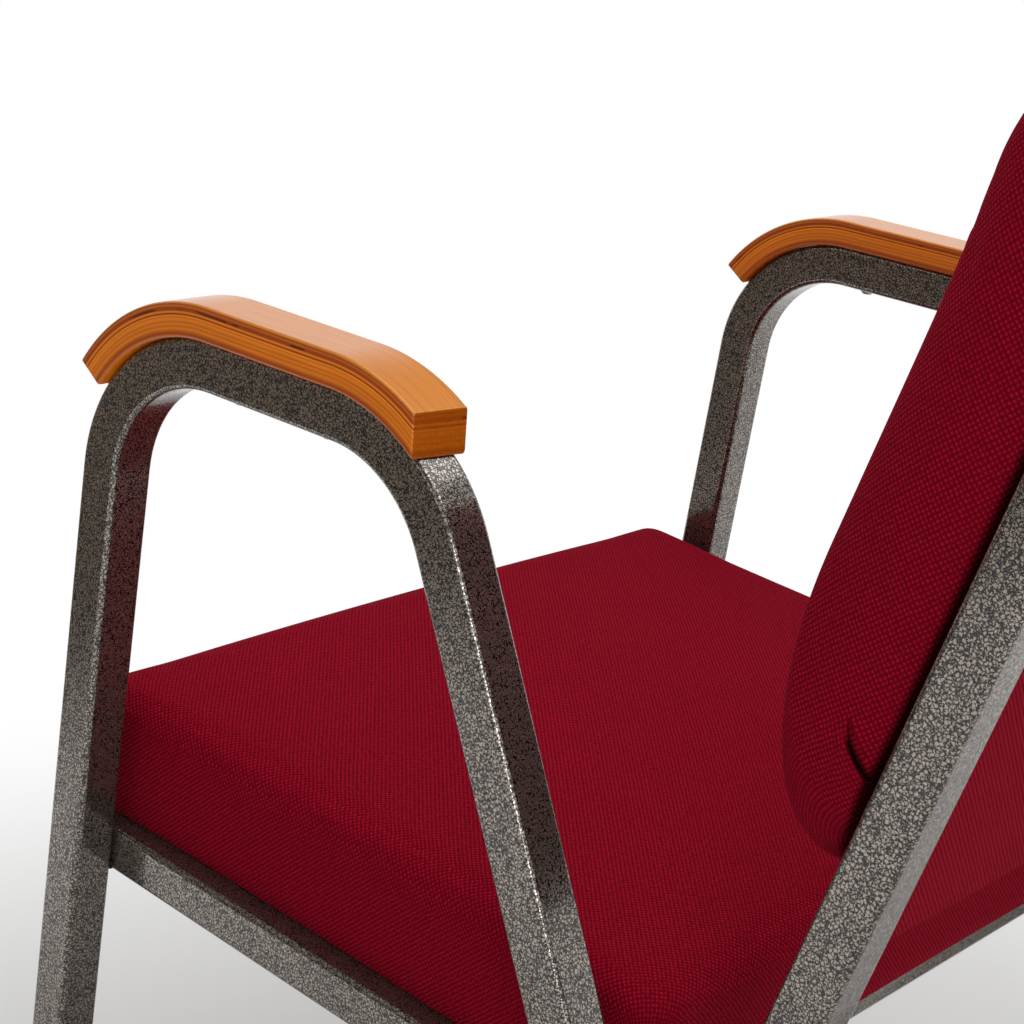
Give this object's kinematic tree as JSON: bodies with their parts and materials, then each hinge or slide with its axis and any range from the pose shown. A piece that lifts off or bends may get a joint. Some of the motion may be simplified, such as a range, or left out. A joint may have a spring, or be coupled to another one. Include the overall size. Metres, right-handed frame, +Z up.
{
  "type": "church armchair",
  "caption": "Church armchair with a padded seat and back on a bent square-tube steel frame, with bent-plywood armrests wrapped over the arms.",
  "frame": {"origin": "on the floor, at the middle of the chair's box", "axes": "+Z up, the sitter faces -Y, +X to the sitter's left"},
  "size_m": [0.5692, 0.6522, 0.8892],
  "materials": {
    "frame_coat": "semi-gloss silver powder coat with fine black veins",
    "armrest_wood": "honey-stained bent plywood under satin lacquer",
    "upholstery_fabric": "burgundy ribbed weave",
    "board_plywood": "bare plywood",
    "dust_cloth": "black non-woven cloth",
    "glide_plastic": "moulded black plastic",
    "fastener_steel": "zinc plated"
  },
  "bodies": {
    "root": {"side_frame_left": "frame_coat", "side_frame_right": "frame_coat", "seat_back_hoop": "frame_coat", "seat_front_rail": "frame_coat", "seat_rear_rail": "frame_coat", "back_lower_brace": "frame_coat", "back_upper_brace": "frame_coat", "armrest_left": "armrest_wood", "armrest_right": "armrest_wood", "seat_cushion": "upholstery_fabric", "back_cushion": "upholstery_fabric", "back_rear_panel": "upholstery_fabric", "seat_board": "board_plywood", "back_board": "board_plywood", "seat_dust_cover": "dust_cloth", "glide_front_left": "glide_plastic", "glide_front_right": "glide_plastic", "glide_rear_left": "glide_plastic", "glide_rear_right": "glide_plastic", "rear_panel_clip_lower_left": "glide_plastic", "rear_panel_clip_lower_right": "glide_plastic", "rear_panel_clip_upper_left": "glide_plastic", "rear_panel_clip_upper_right": "glide_plastic", "armrest_screw_front_left": "fastener_steel", "armrest_screw_front_right": "fastener_steel", "armrest_screw_rear_left": "fastener_steel", "armrest_screw_rear_right": "fastener_steel", "seat_bolt_front_left": "fastener_steel", "seat_bolt_front_right": "fastener_steel", "seat_bolt_rear_left": "fastener_steel", "seat_bolt_rear_right": "fastener_steel", "seat_tee_nut_front_left": "fastener_steel", "seat_tee_nut_front_right": "fastener_steel", "seat_tee_nut_rear_left": "fastener_steel", "seat_tee_nut_rear_right": "fastener_steel", "back_screw_lower_left": "fastener_steel", "back_screw_lower_right": "fastener_steel", "back_screw_upper_left": "fastener_steel", "back_screw_upper_right": "fastener_steel"}
  },
  "joints": []
}
